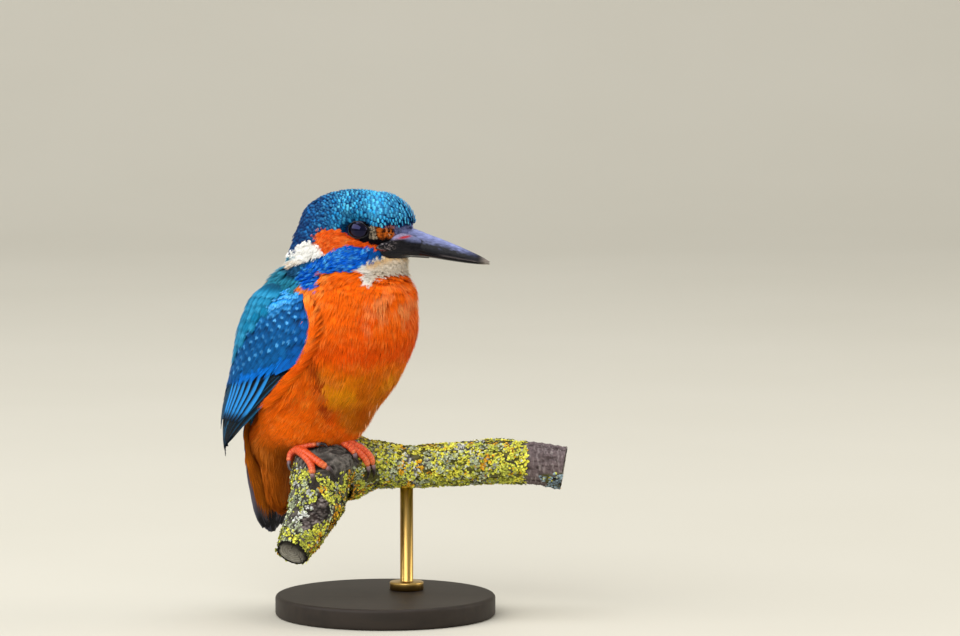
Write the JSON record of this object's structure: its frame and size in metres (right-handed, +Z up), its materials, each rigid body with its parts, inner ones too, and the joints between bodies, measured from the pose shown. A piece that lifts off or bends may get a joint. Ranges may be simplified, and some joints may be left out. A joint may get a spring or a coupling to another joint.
{
  "type": "life-size kingfisher model on a perch",
  "caption": "Still, life-size male common kingfisher sitting on a cut length of lichened branch, carried by a round display stand with one rod.",
  "frame": {"origin": "centre of the underside of the stand's base, on the floor", "axes": "+Z up, +X towards the side that the bill points to, -Y towards the bird's right side and breast"},
  "size_m": [0.1325, 0.084, 0.1636],
  "materials": {
    "crown_feathers": "satin",
    "nape_feathers": "matte",
    "breast_feathers": "matte",
    "thigh_feathers": "matte",
    "wing_coverts": "satin",
    "flight_feathers": "satin",
    "tail_feathers": "satin",
    "bill_horn": "satin",
    "eye_surface": "gloss",
    "foot_skin": "satin",
    "claw_horn": "satin",
    "bark": "matte",
    "stand_lacquer": "satin",
    "stand_brass": "satin"
  },
  "bodies": {
    "root": {"head": "crown_feathers", "neck": "nape_feathers", "trunk": "breast_feathers", "thigh_r": "thigh_feathers", "thigh_l": "thigh_feathers", "wing_r_coverts": "wing_coverts", "wing_l_coverts": "wing_coverts", "wing_r_flight": "flight_feathers", "wing_l_flight": "flight_feathers", "tail": "tail_feathers", "bill_upper": "bill_horn", "bill_lower": "bill_horn", "eye_r": "eye_surface", "eye_l": "eye_surface", "foot_r": "foot_skin", "foot_l": "foot_skin", "claw_r_inner": "claw_horn", "claw_r_middle": "claw_horn", "claw_r_outer": "claw_horn", "claw_r_hind": "claw_horn", "claw_l_inner": "claw_horn", "claw_l_middle": "claw_horn", "claw_l_outer": "claw_horn", "claw_l_hind": "claw_horn", "perch": "bark", "stand_base": "stand_lacquer", "stand_rod": "stand_brass"}
  },
  "joints": []
}
